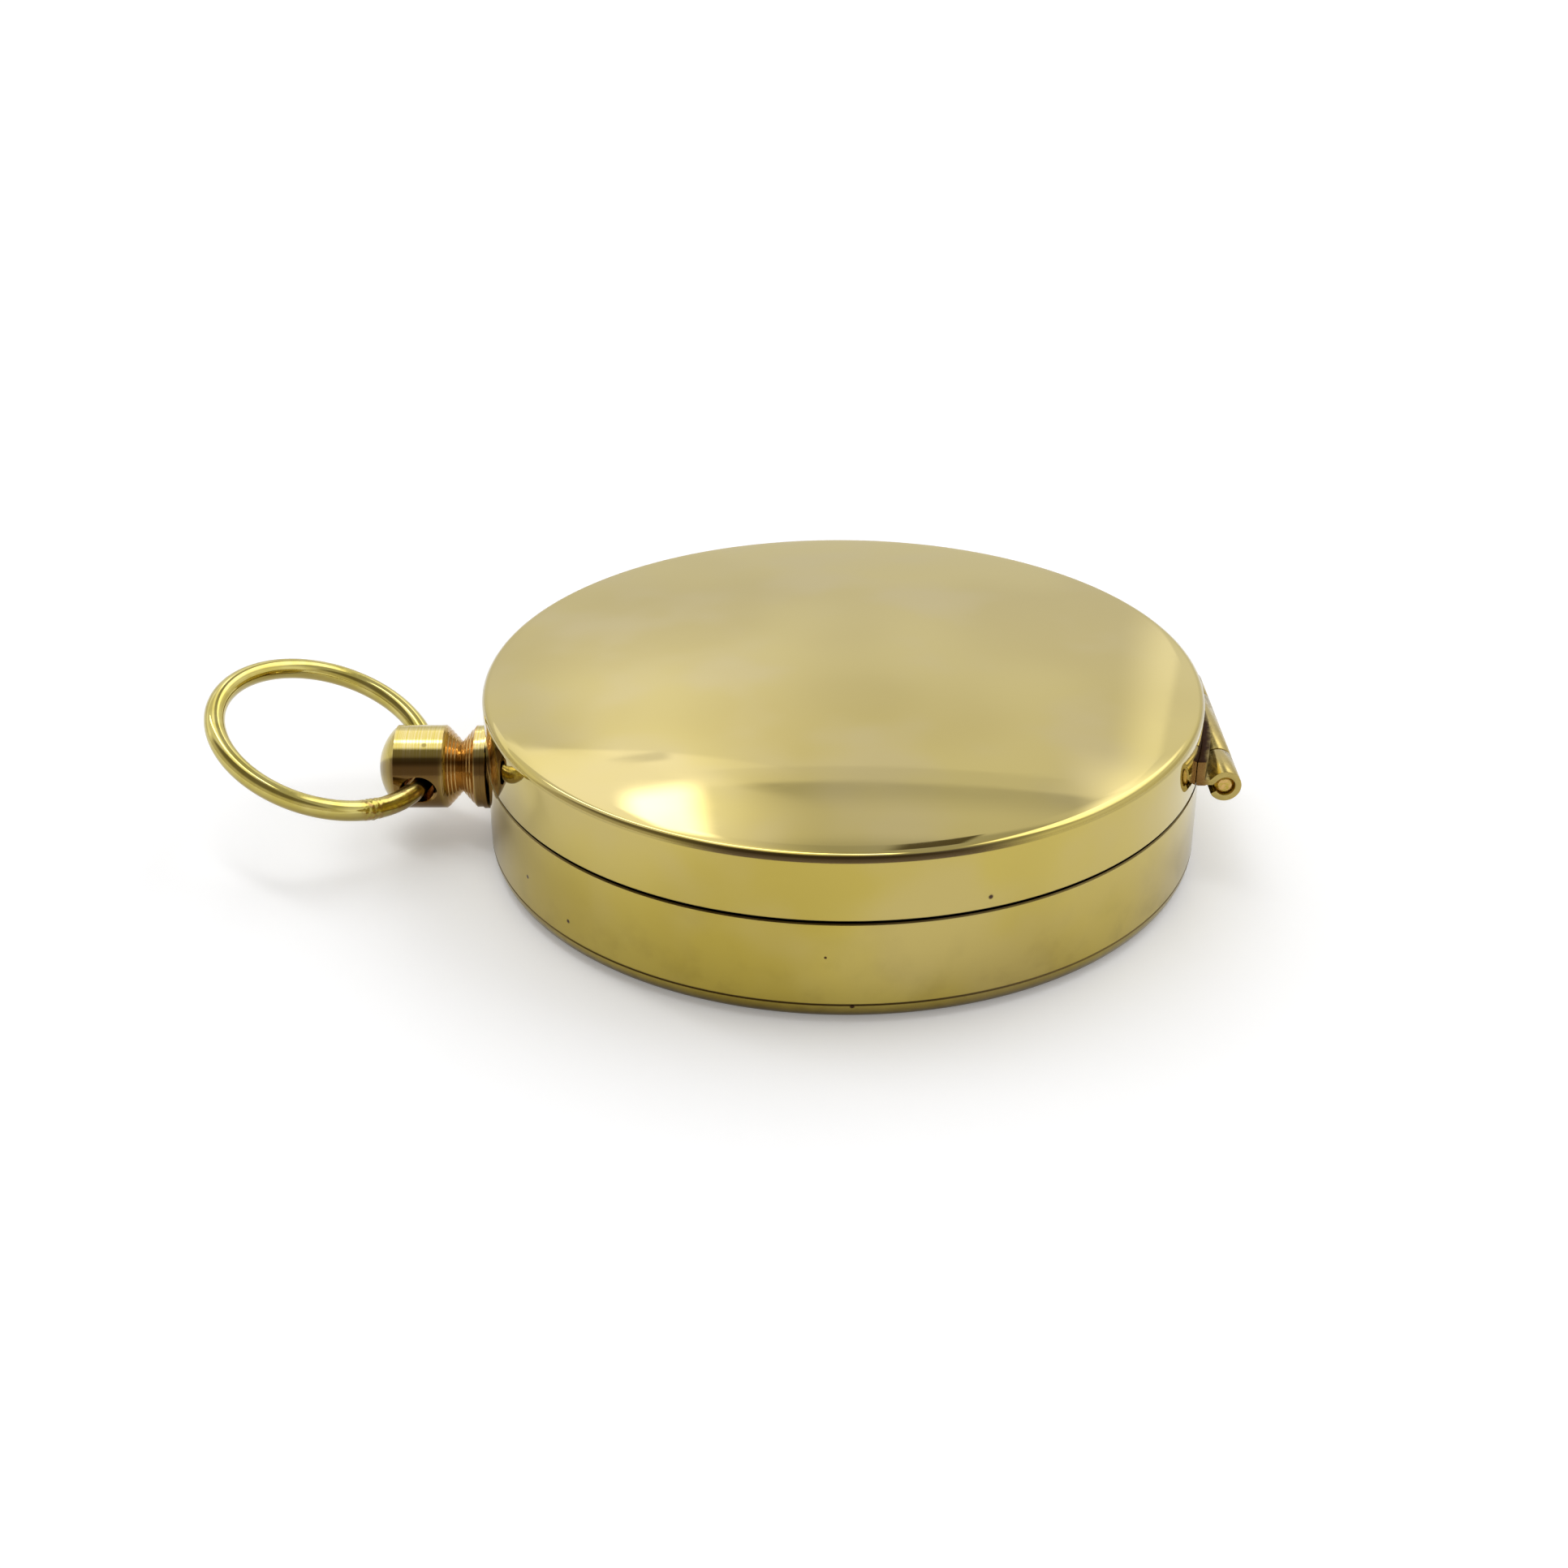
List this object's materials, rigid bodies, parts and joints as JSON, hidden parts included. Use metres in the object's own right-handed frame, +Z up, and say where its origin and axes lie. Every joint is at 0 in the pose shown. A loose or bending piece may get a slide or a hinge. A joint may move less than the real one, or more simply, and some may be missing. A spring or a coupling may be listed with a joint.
{
  "type": "pocket compass",
  "caption": "Round hinged brass pocket compass with a low domed lid, turned stem and swinging bow ring; opens to a glazed dial with a free-turning needle.",
  "frame": {"origin": "middle of the flat underside that the closed case rests on", "axes": "+Z up through the closed lid, +X towards the lid hinge and away from the stem and ring, hinge axis along Y"},
  "size_m": [0.0712, 0.05, 0.0133],
  "materials": {
    "case_brass": "polished",
    "inner_brass": "satin turned",
    "dial_metal": "plain sheet",
    "dial_paper": "printed matt",
    "window_glass": "clear polished",
    "pivot_steel": "ground",
    "needle_lacquer": "lacquered north half, bright south half",
    "jewel": "polished"
  },
  "bodies": {
    "base": {"base_plate": "case_brass", "base_band": "case_brass", "bezel_sleeve": "inner_brass", "dial_plate": "dial_metal", "dial_card": "dial_paper", "spacer_ring": "inner_brass", "glass": "window_glass", "spring_ring": "inner_brass", "pivot_stud": "inner_brass", "pivot_pin": "pivot_steel", "base_hinge_leaf": "case_brass", "stem": "case_brass"},
    "lid": {"lid": "case_brass", "lid_hinge_leaf": "case_brass", "hinge_pin": "case_brass"},
    "bow_ring": {"bow_ring": "case_brass"},
    "needle": {"needle": "needle_lacquer", "needle_cap": "inner_brass", "needle_jewel": "jewel", "needle_weight": "inner_brass"}
  },
  "joints": [
    {"name": "lid_hinge", "type": "hinge", "parent": "base", "child": "lid", "pos_m": [0.02575, 0, 0.0073], "axis": [0, 1, 0], "range_deg": [0, 180]},
    {"name": "ring_swing", "type": "hinge", "parent": "base", "child": "bow_ring", "pos_m": [-0.02982, 0, 0.00492], "axis": [0, 0.9871, 0.1599], "range_deg": [-150, 100]},
    {"name": "needle_spin", "type": "hinge", "parent": "base", "child": "needle", "pos_m": [0, 0, 0.0046], "axis": [0, 0, 1], "continuous": true}
  ]
}
